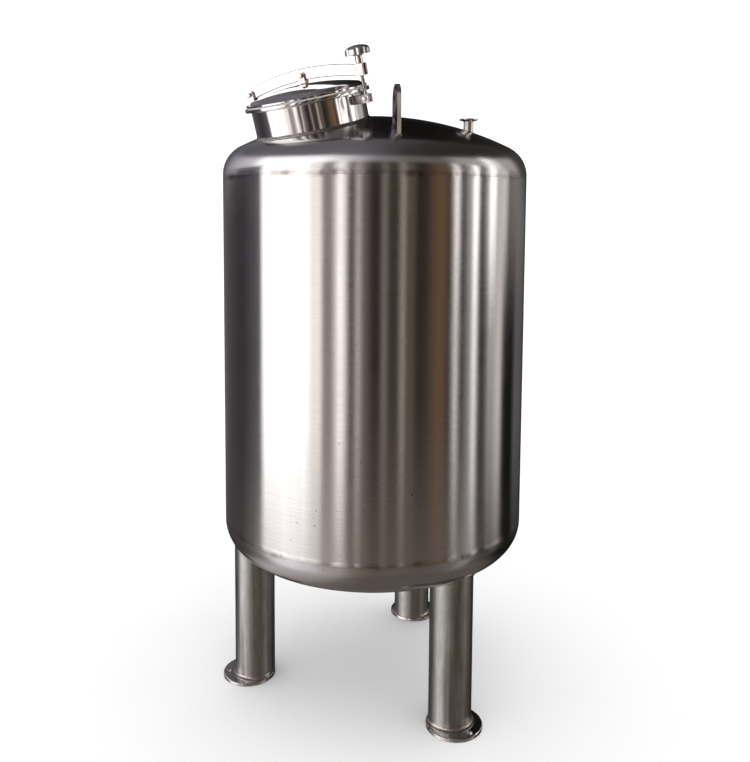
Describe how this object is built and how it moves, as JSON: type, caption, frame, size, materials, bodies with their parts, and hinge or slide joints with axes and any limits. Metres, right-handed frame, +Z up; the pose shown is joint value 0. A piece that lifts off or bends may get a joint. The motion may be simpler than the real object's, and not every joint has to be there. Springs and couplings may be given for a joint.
{
  "type": "vertical storage tank on legs",
  "caption": "Upright stainless steel tank with dished heads on pipe legs, with a clamped round manhole, lifting lugs and clamp ferrules.",
  "frame": {"origin": "on the floor, on the tank's own vertical axis", "axes": "+Z up along the tank's axis, -Y towards the side that the manhole and the swing bolt are on"},
  "size_m": [0.85, 0.85, 1.7641],
  "materials": {
    "brushed_stainless": "fine satin brushed sheet",
    "polished_stainless": "mirror polished stainless steel",
    "leg_stainless": "semi-bright pipe",
    "gasket_rubber": "pale matt seal"
  },
  "bodies": {
    "tank": {"shell": "brushed_stainless", "top_head": "brushed_stainless", "bottom_head": "brushed_stainless", "leg_front": "leg_stainless", "leg_back": "leg_stainless", "leg_left": "leg_stainless", "foot_plate_front": "polished_stainless", "foot_plate_back": "polished_stainless", "foot_plate_left": "polished_stainless", "manhole_neck": "polished_stainless", "manhole_flange": "polished_stainless", "manhole_lid": "polished_stainless", "lid_lug": "polished_stainless", "lid_lug_pin": "polished_stainless", "lid_arm": "polished_stainless", "arm_fork": "polished_stainless", "hinge_lug": "polished_stainless", "hinge_pin": "polished_stainless", "bolt_clevis": "polished_stainless", "bolt_pin": "polished_stainless", "lifting_lug_front": "polished_stainless", "lifting_lug_back": "polished_stainless", "vent_ferrule": "polished_stainless", "outlet_ferrule": "polished_stainless", "manhole_gasket": "gasket_rubber"},
    "swing_bolt": {"swing_bolt": "polished_stainless"},
    "star_knob": {"star_knob": "polished_stainless"}
  },
  "joints": [
    {"name": "bolt_swing", "type": "hinge", "parent": "tank", "child": "swing_bolt", "pos_m": [0.0121, -0.25384, 1.63471], "axis": [0.3412, 0.9036, 0.2589], "range_deg": [0, 62]},
    {"name": "knob_turn", "type": "hinge", "parent": "swing_bolt", "child": "star_knob", "pos_m": [0.0121, -0.25384, 1.63471], "axis": [-0.1673, -0.2126, 0.9627], "continuous": true}
  ]
}
